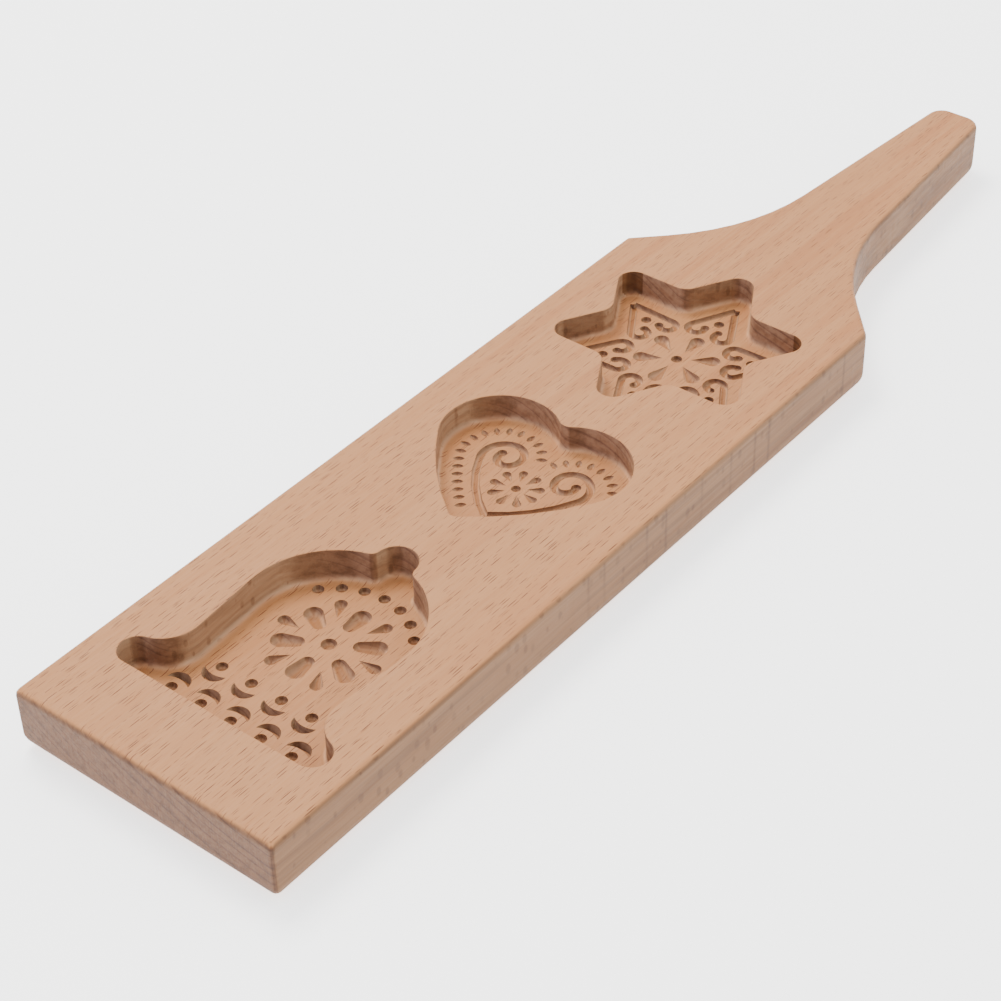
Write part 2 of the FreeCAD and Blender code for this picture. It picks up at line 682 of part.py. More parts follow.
def main():
    doc = FreeCAD.newDocument("gingerbread_mould")
    makeSheet(doc)
    board = doc.addObject("PartDesign::Body", "mould_board")
    board.Label = "mould_board"
    board.Placement = FreeCAD.Placement()
    for step in (makeBlank, makeBell, makeHeart, makeStar, carveBell, carveHeart, carveStar):
        step(board)
        print(step.__name__, "leaves", round(board.Shape.Volume), "mm3")
    doc.recompute()
    checkParts(doc, [board])
    os.makedirs("parts", exist_ok=True)
    board.Shape.exportStep("parts/" + board.Label + ".step")


main()
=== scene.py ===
import math

import bmesh
import bpy
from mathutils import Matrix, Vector


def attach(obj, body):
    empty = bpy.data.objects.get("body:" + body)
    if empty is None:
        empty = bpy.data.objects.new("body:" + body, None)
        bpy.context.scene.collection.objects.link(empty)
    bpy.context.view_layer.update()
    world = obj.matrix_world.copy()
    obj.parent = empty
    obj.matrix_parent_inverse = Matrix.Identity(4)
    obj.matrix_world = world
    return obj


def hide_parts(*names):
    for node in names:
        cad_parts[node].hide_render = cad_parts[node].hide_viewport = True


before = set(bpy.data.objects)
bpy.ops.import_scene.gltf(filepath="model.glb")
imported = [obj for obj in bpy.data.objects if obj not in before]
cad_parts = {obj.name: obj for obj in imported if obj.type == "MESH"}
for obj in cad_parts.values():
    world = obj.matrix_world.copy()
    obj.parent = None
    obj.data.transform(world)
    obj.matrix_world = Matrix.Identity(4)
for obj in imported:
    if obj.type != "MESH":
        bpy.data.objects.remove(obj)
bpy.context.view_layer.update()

mm = 0.001
tiny = 0.001  # a length in millimetres that counts as none
mergeReach = 0.01  # points nearer than this, in millimetres, become one
arcStep = math.radians(6)  # longest step along an outline
grooveStep = math.radians(9)  # longest step along a groove
sharpAngle = math.radians(32)  # a steeper edge is a corner
headroom = 2.0  # how far the cutter of a hollow stands out of the top
lift = 0.013  # keeps the widest ring of a cutter off the floor that it cuts
dotRoundShare = 0.32  # how much of its width rounds the bottom of a dot
sixTurns = range(0, 360, 60)  # degrees

# Flats that stand for each round
facets = {
    "topRound": 6,
    "baseRound": 8,
    "cornerRound": 3,
    "rimRound": 2,
    "floorRound": 5,
    "petalInner": 4,
    "petalOuter": 8,
    "petalGirth": 24,
    "leafArc": 8,
    "leafGirth": 16,
    "dot": 24,
    "dotRound": 5,
    "groove": 20,
}


def report(text):
    print("mould: " + text)


def activate(piece):
    if bpy.context.object and bpy.context.object.mode != "OBJECT":
        bpy.ops.object.mode_set(mode="OBJECT")
    bpy.ops.object.select_all(action="DESELECT")
    piece.select_set(True)
    bpy.context.view_layer.objects.active = piece


def newPoint(name, x, y, z):
    # One vertex in edit mode, from a plane whose corners are merged
    bpy.ops.object.select_all(action="DESELECT")
    bpy.ops.mesh.primitive_plane_add(size=mm, location=(0, 0, 0))
    piece = bpy.context.object
    piece.name = name
    bpy.ops.object.mode_set(mode="EDIT")
    bpy.ops.mesh.select_mode(type="VERT")
    bpy.ops.mesh.select_all(action="SELECT")
    bpy.ops.mesh.merge(type="CENTER")
    bpy.ops.transform.translate(value=(x * mm, y * mm, z * mm))
    return piece


def pullBy(x, y, z=0.0):
    bpy.ops.mesh.extrude_region_move(TRANSFORM_OT_translate={"value": (x * mm, y * mm, z * mm)})


def turnAbout(x, y, z, angle, axis=(0, 0, 1), steps=0):
    # Counter-clockwise for a positive angle, for which spin wants the other sign
    count = steps or max(2, math.ceil(abs(angle) / arcStep))
    bpy.ops.mesh.spin(steps=count, angle=-angle, center=(x * mm, y * mm, z * mm), axis=axis)


def tangentRun(first, second):
    # Heading and end points of the straight that joins two turns, each given as x, y and a
    # radius that is positive for a left turn
    dx, dy = second[0] - first[0], second[1] - first[1]
    reach = math.hypot(dx, dy)
    lean = max(-1.0, min(1.0, (second[2] - first[2]) / reach))
    heading = math.atan2(dy, dx) - math.asin(lean)
    left = (-math.sin(heading), math.cos(heading))
    leave = [first[k] - first[2] * left[k] for k in (0, 1)]
    arrive = [second[k] - second[2] * left[k] for k in (0, 1)]
    return heading, leave, arrive


def outline(name, turns, z):
    # A filled closed outline through the turns, counter-clockwise
    count = len(turns)
    runs = [tangentRun(turns[k], turns[(k + 1) % count]) for k in range(count)]
    piece = newPoint(name, runs[0][1][0], runs[0][1][1], z)
    for k in range(count):
        heading, leave, arrive = runs[k]
        if math.dist(leave, arrive) > tiny:
            pullBy(arrive[0] - leave[0], arrive[1] - leave[1])
        turn = turns[(k + 1) % count]
        sweep = (runs[(k + 1) % count][0] - heading) % (2 * math.pi)
        if turn[2] < 0:
            sweep -= 2 * math.pi
        if turn[2]:
            turnAbout(turn[0], turn[1], z, sweep)
    mergePoints()
    bpy.ops.mesh.edge_face_add()
    return piece


def mergePoints():
    bpy.ops.mesh.select_all(action="SELECT")
    bpy.ops.mesh.remove_doubles(threshold=mergeReach * mm)


def select(piece, kind, chosen):
    # In edit mode, only the edges or faces for which chosen says yes
    bpy.ops.mesh.select_mode(type=kind)
    bpy.ops.mesh.select_all(action="DESELECT")
    mesh = bmesh.from_edit_mesh(piece.data)
    for part in mesh.edges if kind == "EDGE" else mesh.faces:
        if chosen(part):
            part.select_set(True)
    mesh.select_flush_mode()
    bmesh.update_edit_mesh(piece.data)


def atHeight(z):
    return lambda edge: all(abs(point.co.z - z * mm) < tiny * mm for point in edge.verts)


def roundEdges(piece, chosen, radius, count):
    select(piece, "EDGE", chosen)
    bpy.ops.mesh.bevel(offset=radius * mm, segments=count, affect="EDGES")


def flatten(wide, depth):
    # What is selected is half as deep as it is wide, and gets its own depth
    bpy.ops.transform.resize(value=(1, 1, 2 * depth / wide), center_override=(0, 0, 0))


def finished(piece):
    # Out of edit mode, with all faces pointing outwards
    bpy.ops.mesh.select_all(action="SELECT")
    bpy.ops.mesh.normals_make_consistent(inside=False)
    bpy.ops.object.mode_set(mode="OBJECT")
    return piece


# Sizes in millimetres, x from the front end towards the handle
board = {
    "frontX": -193.0,
    "length": 386.0,
    "boardLength": 258.5,
    "width": 88.0,
    "thickness": 20.0,
    "neckRun": 59.3,
    "neckWidth": 28.6,
    "sweepRadius": 70.4,
    "endWidth": 17.8,
    "endRound": 5.6,
    "handleShift": -0.7,
    "topRound": 2.0,
    "baseRound": 5.0,
    "cornerRound": 1.3,
    "rimRound": 0.35,
}


def makeBlank():
    s = board
    front, shoulder = s["frontX"], s["frontX"] + s["boardLength"]
    half = s["width"] / 2
    sweepX, sweepY = shoulder + s["neckRun"], s["neckWidth"] / 2 + s["sweepRadius"]
    endX = s["frontX"] + s["length"] - s["endRound"]
    endY = s["endWidth"] / 2 - s["endRound"]
    shift = s["handleShift"]
    piece = outline("mould", (
        (front, -half, 0), (shoulder, -half, 0),
        (sweepX, shift - sweepY, -s["sweepRadius"]),
        (endX, shift - endY, s["endRound"]), (endX, shift + endY, s["endRound"]),
        (sweepX, shift + sweepY, -s["sweepRadius"]),
        (shoulder, half, 0), (front, half, 0)), 0)
    pullBy(0, 0, s["thickness"])
    for name, chosen in (("topRound", atHeight(s["thickness"])), ("baseRound", atHeight(0)),
                         ("cornerRound", lambda edge: edge.calc_face_angle(0) > sharpAngle)):
        roundEdges(piece, chosen, s[name], facets[name])
    return finished(piece)


def hollowCutter(name, turns, depth, floorRound):
    top = board["thickness"]
    cutter = outline(name, turns, top + headroom)
    pullBy(0, 0, -depth - headroom)
    roundEdges(cutter, atHeight(top - depth), floorRound, facets["floorRound"])
    return finished(cutter)


def cutWith(piece, cutter):
    activate(piece)
    cut = piece.modifiers.new("cut", "BOOLEAN")
    cut.operation = "DIFFERENCE"
    cut.solver = "MANIFOLD"
    cut.object = cutter
    bpy.ops.object.modifier_apply(modifier=cut.name)
    bpy.data.objects.remove(cutter)


def joined(pieces, name):
    activate(pieces[0])
    for piece in pieces:
        piece.select_set(True)
    if len(pieces) > 1:
        bpy.ops.object.join()
    pieces[0].name = name
    return pieces[0]


bell = {
    "start": 24.2,
    "depth": 10.3,
    "mouthWidth": 70.5,
    "mouthRound": 5.0,
    "flareRadius": 11.1,
    "waistWidth": 47.7,
    "domeRun": 44.6,
    "domeRadius": 25.7,
    "neckRound": 2.9,
    "knobRun": 71.2,
    "knobRadius": 6.1,
    "shift": -0.5,
    "floorRound": 2.2,
    "rosetteRun": 44.1,
    "eyeWide": 4.4,
    "petalInner": 6.4,
    "petalOuter": 15.7,
    "petalWide": 5.5,
    "petalInnerRound": 2.0,
    "petalDepth": 3.0,
    "dropInner": 10.3,
    "dropOuter": 17.6,
    "dropWide": 3.6,
    "dropDepth": 2.4,
    "arcRadius": 22.2,
    "arcStep": 16.4,
    "arcDots": 7,
    "dotWide": 3.4,
    "dotDepth": 2.1,
    "rowPitch": 10.4,
    "rowShift": 0.7,
    "frontDots": 5,
    "frontDotRun": 7.7,
    "frontCrescentRun": 9.9,
    "backDots": 4,
    "backDotRun": 21.0,
    "backCrescentRun": 18.6,
    "crescentHalfHeight": 3.7,
    "crescentBulge": 3.7,
    "crescentHollow": 1.1,
    "crescentDepth": 2.3,
    "crescentLip": 0.1,
    "crescentFoot": (0.4, 0.72),
}


def bellTurns():
    s = bell
    x = board["frontX"] + s["start"]
    cornerY = s["mouthWidth"] / 2 - s["mouthRound"]
    flareY = s["waistWidth"] / 2 + s["flareRadius"]
    between = s["flareRadius"] + s["mouthRound"]
    flareX = s["mouthRound"] + math.sqrt(between ** 2 - (flareY - cornerY) ** 2)
    reach = s["domeRadius"] + s["neckRound"]
    gap = s["knobRun"] - s["domeRun"]
    knobReach = s["knobRadius"] + s["neckRound"]
    lean = math.acos((reach ** 2 + gap ** 2 - knobReach ** 2) / (2 * reach * gap))
    neckX, neckY = s["domeRun"] + reach * math.cos(lean), reach * math.sin(lean)
    half = (
        (x + s["mouthRound"], cornerY, s["mouthRound"]),
        (x + flareX, flareY, -s["flareRadius"]),
        (x + s["domeRun"], 0, s["domeRadius"]),
        (x + neckX, neckY, -s["neckRound"]),
        (x + s["knobRun"], 0, s["knobRadius"]))
    turns = [(turnX, -turnY, radius) for turnX, turnY, radius in half] + list(half[-2::-1])
    return [(turnX, turnY + s["shift"], radius) for turnX, turnY, radius in turns]


heart = {
    "start": 119.1,
    "depth": 8.7,
    "tipRound": 2.5,
    "lobeRun": 36.4,
    "lobeOffset": 12.5,
    "lobeRadius": 17.5,
    "notchRound": 3.4,
    "flankRadius": 90.6,
    "floorRound": 2.2,
    "rosetteRun": 27.6,
    "eyeWide": 2.8,
    "petals": 9,
    "petalInner": 3.1,
    "petalOuter": 8.2,
    "petalWide": 2.6,
    "petalDepth": 1.6,
    "leafInset": 5.7,
    "leafLong": 3.5,
    "leafWide": 1.85,
    "leafDepth": 1.25,
    "flankPitch": 3.5,
    "flankLeaves": 7,
    "lobePitch": 3.6,
    "lobeLeaves": 11,
    "scrollRun": 13.4,
    "scrollHeading": 58.0,
    "scrollArcs": ((45.3, 34.0), (6.9, 98.0), (5.0, 145.5), (3.2, 161.5)),
    "scrollWide": 2.5,
    "scrollDepth": 1.8,
    "ballWide": 2.9,
    "ballDepth": 1.7,
}


def heartFlank():
    # Centre of the right flank's arc, which runs on into the tip and the lobe
    s = heart
    run, offset = s["lobeRun"] - s["tipRound"], s["lobeOffset"]
    between = math.hypot(run, offset)
    reach, lobeReach = s["flankRadius"] - s["tipRound"], s["flankRadius"] - s["lobeRadius"]
    lean = math.acos((reach ** 2 + between ** 2 - lobeReach ** 2) / (2 * reach * between))
    lean -= math.atan2(offset, run)
    return (board["frontX"] + s["start"] + s["tipRound"] + reach * math.cos(lean),
            reach * math.sin(lean))


def heartTurns():
    s = heart
    x = board["frontX"] + s["start"]
    flankX, flankY = heartFlank()
    notchX = s["lobeRun"] + math.sqrt((s["lobeRadius"] + s["notchRound"]) ** 2
                                      - s["lobeOffset"] ** 2)
    return (
        (x + s["tipRound"], 0, s["tipRound"]),
        (flankX, flankY, s["flankRadius"]),
        (x + s["lobeRun"], -s["lobeOffset"], s["lobeRadius"]),
        (x + notchX, 0, -s["notchRound"]),
        (x + s["lobeRun"], s["lobeOffset"], s["lobeRadius"]),
        (flankX, -flankY, s["flankRadius"]))


star = {
    "start": 223.8,
    "depth": 8.6,
    "edgeDistance": 20.6,
    "tipRound": 4.7,
    "innerRound": 5.6,
    "floorRound": 2.2,
    "eyeWide": 3.4,
    "eyeDepth": 2.0,
    "petalInner": 4.1,
    "petalOuter": 13.1,
    "petalWide": 4.7,
    "petalDepth": 2.4,
    "chevronReach": 31.3,
    "chevronSpread": 28.0,
    "chevronArm": 14.9,
    "chevronWide": 2.4,
    "chevronDepth": 1.9,
    "curlRadius": 2.6,
    "curlSweep": 236.0,
    "ballWide": 2.8,
    "ballDepth": 1.8,
    "dotRadius": 22.2,
    "dotWide": 3.2,
    "dotDepth": 1.9,
}


def starTurns():
    # Six points, with a rounded inner corner between each two
    s = star
    x = board["frontX"] + s["start"]
    tipReach = 2 * (s["edgeDistance"] - s["tipRound"])
    innerReach = (s["edgeDistance"] + s["innerRound"]) / math.cos(math.radians(30))
    turns = []
    for turn in sixTurns:
        tip, inner = math.radians(turn), math.radians(turn + 30)
        turns.append((x + tipReach * math.cos(tip), tipReach * math.sin(tip), s["tipRound"]))
        turns.append((x + innerReach * math.cos(inner), innerReach * math.sin(inner),
                      -s["innerRound"]))
    return turns


blank = makeBlank()
report("blank made")
for name, sizes, turns in (("bell", bell, bellTurns()), ("heart", heart, heartTurns()),
                           ("star", star, starTurns())):
    cutWith(blank, hollowCutter(name + "Hollow", turns, sizes["depth"], sizes["floorRound"]))
    report(name + " hollow cut")


# How much the normal of a face rises: less than this on a wall, more than this on a floor
steep, level = 0.3, 0.99


def isRim(edge):
    # An edge of the top face that borders the upright wall of a hollow
    onTop = atHeight(board["thickness"])(edge)
    return onTop and any(abs(face.normal.z) < steep for face in edge.link_faces)


def isFloor(face):
    # A level face of a hollow, well below the top
    height = face.calc_center_median().z / mm
    return face.normal.z > level and height < board["thickness"] - star["depth"] / 2


activate(blank)
bpy.ops.object.mode_set(mode="EDIT")
roundEdges(blank, isRim, board["rimRound"], facets["rimRound"])
select(blank, "FACE", isFloor)
bpy.ops.mesh.quads_convert_to_tris(ngon_method="BEAUTY")  # large floors are not cut cleanly
bpy.ops.object.mode_set(mode="OBJECT")
report("rims softened")


def placed(piece, x, y, z, turn=0.0, flip=False):
    # Moves a finished cutter from the origin to its place, turned in degrees and mirrored first
    activate(piece)
    if flip:
        piece.scale.y = -1
        bpy.ops.object.transform_apply()
        bpy.ops.object.mode_set(mode="EDIT")
        finished(piece)
    piece.location = (x * mm, y * mm, (z + lift) * mm)
    piece.rotation_euler.z = math.radians(turn)
    bpy.ops.object.transform_apply()
    return piece


def copyOf(piece):
    activate(piece)
    bpy.ops.object.duplicate()
    return bpy.context.object


def ringOf(piece, x, y, z, turns, flip=False):
    # A copy at each of the turns, the piece itself removed
    copies = [placed(copyOf(piece), x, y, z, turn, flip) for turn in turns]
    bpy.data.objects.remove(piece)
    return copies


def turnedRound(piece, girth, wide, depth):
    # The half outline in edit mode, turned about the X axis and flattened to its depth
    bpy.ops.mesh.select_all(action="SELECT")
    turnAbout(0, 0, 0, 2 * math.pi, axis=(1, 0, 0), steps=girth)
    mergePoints()
    flatten(wide, depth)
    return finished(piece)


def petalCutter(name, inner, outer, wide, depth, innerRound=0.0):
    # A drop along +X, wide at its outer end
    first = (inner + innerRound, 0, innerRound)
    last = (outer - wide / 2, 0, wide / 2)
    heading, leave, arrive = tangentRun(first, last)
    piece = newPoint(name, inner, 0, 0)
    if innerRound:
        turnAbout(first[0], 0, 0, heading + math.pi / 2, steps=facets["petalInner"])
    pullBy(arrive[0] - leave[0], arrive[1] - leave[1])
    turnAbout(last[0], 0, 0, math.pi / 2 - heading, steps=facets["petalOuter"])
    return turnedRound(piece, facets["petalGirth"], wide, depth)


def leafCutter(name, inner, outer, wide, depth):
    # One arc along +X, so that it is pointed at both ends
    half = (outer - inner) / 2
    radius = (half ** 2 + (wide / 2) ** 2) / wide
    piece = newPoint(name, inner, 0, 0)
    turnAbout(inner + half, wide / 2 - radius, 0, -2 * math.asin(half / radius),
              steps=facets["leafArc"])
    return turnedRound(piece, facets["leafGirth"], wide, depth)


def dotCutter(name, wide, depth):
    # A drilled hole with a rounded bottom
    bpy.ops.object.select_all(action="DESELECT")
    bpy.ops.mesh.primitive_cylinder_add(vertices=facets["dot"], radius=wide / 2 * mm,
                                        depth=2 * depth * mm)
    piece = bpy.context.object
    piece.name = name
    bpy.ops.object.mode_set(mode="EDIT")
    roundEdges(piece, atHeight(-depth), dotRoundShare * wide, facets["dotRound"])
    return finished(piece)


def crescentCutter(name, side):
    # Two arcs that meet in horns, bulging towards +X for side 1 and -X for side -1, with the
    # bottom a share of the top in length and width
    s = bell
    half = s["crescentHalfHeight"]
    turns = []
    for bulge, way in ((s["crescentBulge"], 1), (s["crescentHollow"], -1)):
        radius = (half ** 2 + bulge ** 2) / (2 * bulge)
        turns += [(0, -way * side * half, 0), (side * (bulge - radius), 0, way * radius)]
    piece = outline(name, turns, s["crescentDepth"])
    pullBy(0, 0, s["crescentLip"] - s["crescentDepth"])
    pullBy(0, 0, -s["crescentLip"] - s["crescentDepth"])
    middle = side * (s["crescentBulge"] + s["crescentHollow"]) / 2
    bpy.ops.transform.resize(value=(*s["crescentFoot"], 1), center_override=(middle * mm, 0, 0))
    return finished(piece)


def grooveCutter(name, heading, runs, wide, depth):
    # A round section swept from the origin: a run is a length, or a radius and a right-hand sweep
    bpy.ops.object.select_all(action="DESELECT")
    bpy.ops.mesh.primitive_circle_add(vertices=facets["groove"], radius=wide / 2 * mm,
                                      rotation=(0, math.pi / 2, math.radians(heading)))
    piece = bpy.context.object
    piece.name = name
    bpy.ops.object.transform_apply()
    bpy.ops.object.mode_set(mode="EDIT")
    bpy.ops.mesh.select_all(action="SELECT")
    flatten(wide, depth)
    x, y, angle = 0.0, 0.0, math.radians(heading)
    for run in runs:
        if len(run) == 1:
            stepX, stepY = run[0] * math.cos(angle), run[0] * math.sin(angle)
            pullBy(stepX, stepY)
            x, y = x + stepX, y + stepY
        else:
            radius, sweep = run[0], math.radians(run[1])
            centreX, centreY = x + radius * math.sin(angle), y - radius * math.cos(angle)
            turnAbout(centreX, centreY, 0, -sweep, steps=math.ceil(sweep / grooveStep))
            angle -= sweep
            x, y = centreX - radius * math.sin(angle), centreY + radius * math.cos(angle)
    bpy.ops.mesh.select_all(action="SELECT")
    bpy.ops.mesh.fill_holes(sides=0)
    return finished(piece), x, y


def bellOrnament():
    s = bell
    x, z = board["frontX"] + s["start"], board["thickness"] - s["depth"]
    middle = x + s["rosetteRun"]
    cutters = [placed(dotCutter("bellEye", s["eyeWide"], s["dotDepth"]), middle, 0, z)]
    petal = petalCutter("bellPetal", s["petalInner"], s["petalOuter"], s["petalWide"],
                        s["petalDepth"], s["petalInnerRound"])
    cutters += ringOf(petal, middle, 0, z, sixTurns)
    drop = petalCutter("bellDrop", s["dropInner"], s["dropOuter"], s["dropWide"], s["dropDepth"])
    cutters += ringOf(drop, middle, 0, z, [turn + 30 for turn in sixTurns])
    for k in range(s["arcDots"]):
        turn = math.radians(s["arcStep"] * (k - (s["arcDots"] - 1) / 2))
        cutters.append(placed(dotCutter("bellDot", s["dotWide"], s["dotDepth"]),
                              middle + s["arcRadius"] * math.cos(turn),
                              s["arcRadius"] * math.sin(turn), z))
    for row, side in (("front", 1), ("back", -1)):
        count = s[row + "Dots"]
        for k in range(count):
            y = s["rowShift"] + s["rowPitch"] * (k - (count - 1) / 2)
            cutters.append(placed(dotCutter("bellDot", s["dotWide"], s["dotDepth"]),
                                  x + s[row + "DotRun"], y, z))
            cutters.append(placed(crescentCutter("bellCrescent", side),
                                  x + s[row + "CrescentRun"], y, z))
    return [cutters]


def heartOrnament():
    s = heart
    x, z = board["frontX"] + s["start"], board["thickness"] - s["depth"]
    middle = x + s["rosetteRun"]
    cutters = [placed(dotCutter("heartEye", s["eyeWide"], s["petalDepth"]), middle, 0, z)]
    petal = petalCutter("heartPetal", s["petalInner"], s["petalOuter"], s["petalWide"],
                        s["petalDepth"])
    cutters += ringOf(petal, middle, 0, z, [180 + 360 / s["petals"] * k for k in range(s["petals"])])
    lobeX, lobeY = x + s["lobeRun"], s["lobeOffset"]
    flankX, flankY = heartFlank()
    joint = math.degrees(math.atan2(lobeY + flankY, lobeX - flankX))
    for centreX, centreY, rim, pitch, count, side in (
            (flankX, -flankY, s["flankRadius"], s["flankPitch"], s["flankLeaves"], 1),
            (lobeX, lobeY, s["lobeRadius"], s["lobePitch"], s["lobeLeaves"], -1)):
        radius = rim - s["leafInset"]
        step = side * math.degrees(pitch / radius)
        leaf = leafCutter("heartLeaf", radius - s["leafLong"] / 2, radius + s["leafLong"] / 2,
                          s["leafWide"], s["leafDepth"])
        turns = [joint + step * (k + 0.5) for k in range(count)]
        cutters += ringOf(copyOf(leaf), centreX, -centreY, z, [-turn for turn in turns])
        cutters += ringOf(leaf, centreX, centreY, z, turns)
    scrollX = x + s["scrollRun"]
    sets = [cutters]
    for flip in (False, True):
        groove, endX, endY = grooveCutter("heartScroll", s["scrollHeading"], s["scrollArcs"],
                                          s["scrollWide"], s["scrollDepth"])
        sets.append([placed(groove, scrollX, 0, z, flip=flip)])
        ball = dotCutter("heartBall", s["ballWide"], s["ballDepth"])
        cutters.append(placed(ball, scrollX + endX, -endY if flip else endY, z))
    return sets


def starOrnament():
    s = star
    x, z = board["frontX"] + s["start"], board["thickness"] - s["depth"]
    cutters = [placed(dotCutter("starEye", s["eyeWide"], s["eyeDepth"]), x, 0, z)]
    petal = petalCutter("starPetal", s["petalInner"], s["petalOuter"], s["petalWide"],
                        s["petalDepth"])
    cutters += ringOf(petal, x, 0, z, sixTurns)
    sets = [cutters]
    for flip in (False, True):
        groove, endX, endY = grooveCutter(
            "starChevron", 180 + s["chevronSpread"],
            ((s["chevronArm"],), (s["curlRadius"], s["curlSweep"])),
            s["chevronWide"], s["chevronDepth"])
        groove = placed(groove, s["chevronReach"], 0, 0)
        sets.append(ringOf(groove, x, 0, z, sixTurns, flip))
        ball = dotCutter("starBall", s["ballWide"], s["ballDepth"])
        ball = placed(ball, s["chevronReach"] + endX, -endY if flip else endY, 0)
        cutters += ringOf(ball, x, 0, z, sixTurns)
    dot = placed(dotCutter("starDot", s["dotWide"], s["dotDepth"]), s["dotRadius"], 0, 0)
    cutters += ringOf(dot, x, 0, z, sixTurns)
    return sets


for name, ornament in (("bell", bellOrnament), ("heart", heartOrnament), ("star", starOrnament)):
    for cutters in ornament():
        cutWith(blank, joined(cutters, name + "Ornament"))
    report(name + " ornament cut")

bpy.ops.object.shade_smooth_by_angle(angle=sharpAngle)
even = blank.modifiers.new("even", "WEIGHTED_NORMAL")
even.keep_sharp = True
bpy.ops.object.modifier_apply(modifier=even.name)
report("surface smoothed, %d faces" % len(blank.data.polygons))

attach(blank, "root")
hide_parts("mould_board")


def addNode(tree, kind, **settings):
    node = tree.nodes.new("ShaderNode" + kind)
    for key, value in settings.items():
        setattr(node, key, value)
    return node


def feed(tree, socket, value):
    # A number or colour is set on the socket and an output is linked to it
    if isinstance(value, bpy.types.NodeSocket):
        tree.links.new(value, socket)
    elif isinstance(value, tuple) and len(value) == 3 and len(socket.default_value) == 4:
        socket.default_value = (*value, 1)
    else:
        socket.default_value = value


def calculate(tree, operation, *values, clamp=False):
    node = addNode(tree, "Math", operation=operation, use_clamp=clamp)
    for socket, value in zip(node.inputs, values):
        feed(tree, socket, value)
    return node.outputs[0]


def product(tree, first, second, clamp=False):
    return calculate(tree, "MULTIPLY", first, second, clamp=clamp)


def calculateVector(tree, operation, *vectors):
    node = addNode(tree, "VectorMath", operation=operation)
    for socket, vector in zip(node.inputs, vectors):
        feed(tree, socket, vector)
    return node.outputs["Value" if operation == "LENGTH" else "Vector"]


def combined(tree, x=0.0, y=0.0, z=0.0):
    node = addNode(tree, "CombineXYZ")
    for socket, value in zip(node.inputs, (x, y, z)):
        feed(tree, socket, value)
    return node.outputs[0]


def separated(tree, vector):
    node = addNode(tree, "SeparateXYZ")
    feed(tree, node.inputs[0], vector)
    return node.outputs


def inMillimetres(tree, vector):
    return calculateVector(tree, "MULTIPLY", vector, (1 / mm, 1 / mm, 1 / mm))


def ramp(tree, value, low, high, start=0.0, end=1.0):
    node = addNode(tree, "MapRange", interpolation_type="SMOOTHSTEP")
    for name, number in (("Value", value), ("From Min", low), ("From Max", high),
                         ("To Min", start), ("To Max", end)):
        feed(tree, node.inputs[name], number)
    return node.outputs[0]


def blend(tree, kind, factor, first, second):
    # A Mix node has its colours at inputs 6 and 7 and puts one out at output 2
    node = addNode(tree, "Mix", data_type="RGBA", blend_type=kind)
    for number, value in ((0, factor), (6, first), (7, second)):
        feed(tree, node.inputs[number], value)
    return node.outputs[2]


def noise(tree, vector, detail=2.0, roughness=0.5):
    node = addNode(tree, "TexNoise")
    for name, value in (("Vector", vector), ("Scale", 1.0), ("Detail", detail),
                        ("Roughness", roughness)):
        feed(tree, node.inputs[name], value)
    return node.outputs["Fac"]


def newGroup(name, vectors, numbers, masks):
    # A node group that takes the vectors and numbers and puts out the masks
    tree = bpy.data.node_groups.new(name, "ShaderNodeTree")
    for way, kind, sockets in (("INPUT", "Vector", vectors), ("INPUT", "Float", numbers),
                               ("OUTPUT", "Float", masks)):
        for socket in sockets:
            tree.interface.new_socket(socket, in_out=way, socket_type="NodeSocket" + kind)
    given = tree.nodes.new("NodeGroupInput").outputs
    return tree, given, tree.nodes.new("NodeGroupOutput").inputs


def useGroup(tree, group, **values):
    node = addNode(tree, "Group", node_tree=group)
    for key, value in values.items():
        feed(tree, node.inputs[key], value)
    return node.outputs


# How the rings wander, and how much their width and colour vary, by noise steps to a millimetre
growth = {
    "lean": 0.012,
    "sway": (0.006, 0.03, 0.03),
    "widthSteps": 0.31,
    "widthShare": 2.2,
    "darkRange": (0.45, 0.93),
    "depthSteps": 0.9,
    "depthRange": (0.3, 0.7),
    "palest": 0.25,
    "streak": (0.007, 0.42, 0.10),
}


def ringGroup():
    # Growth rings round a pith that runs along X: thin dark lines and wide soft bands
    s = growth
    tree, given, masks = newGroup("growthRings", ("Vector",), ("PithY", "PithZ", "Step", "Wave"),
                                  ("Line", "Band"))
    place = inMillimetres(tree, given["Vector"])
    parts = separated(tree, place)
    across = calculate(tree, "SUBTRACT", parts["Y"], given["PithY"])
    above = calculate(tree, "SUBTRACT", parts["Z"], given["PithZ"])
    squares = calculate(tree, "ADD", product(tree, across, across), product(tree, above, above))
    radius = calculate(tree, "SQRT", squares)
    # The pith leans a little, and the rings wander along the board
    lean = product(tree, parts["X"], s["lean"])
    sway = noise(tree, calculateVector(tree, "MULTIPLY", place, s["sway"]), detail=1.5)
    sway = product(tree, calculate(tree, "SUBTRACT", sway, 0.5), given["Wave"])
    radius = calculate(tree, "ADD", calculate(tree, "ADD", radius, lean), sway)
    # Each ring has its own width and its own depth of colour, and darkens towards its outside
    uneven = noise(tree, combined(tree, product(tree, radius, s["widthSteps"])))
    count = calculate(tree, "ADD", calculate(tree, "DIVIDE", radius, given["Step"]),
                      product(tree, uneven, s["widthShare"]))
    part = calculate(tree, "FRACT", count)
    rise = ramp(tree, part, *s["darkRange"])
    fall = ramp(tree, part, s["darkRange"][1], 1.0, 1.0, 0.0)
    depth = noise(tree, combined(tree, product(tree, radius, s["depthSteps"])))
    depth = ramp(tree, depth, *s["depthRange"], s["palest"], 1.0)
    feed(tree, masks["Line"], product(tree, product(tree, rise, fall), depth))
    streak = combined(tree, *(product(tree, length, step) for length, step in
                              zip((parts["X"], radius, parts["Y"]), s["streak"])))
    feed(tree, masks["Band"], noise(tree, streak, detail=4, roughness=0.6))
    return tree


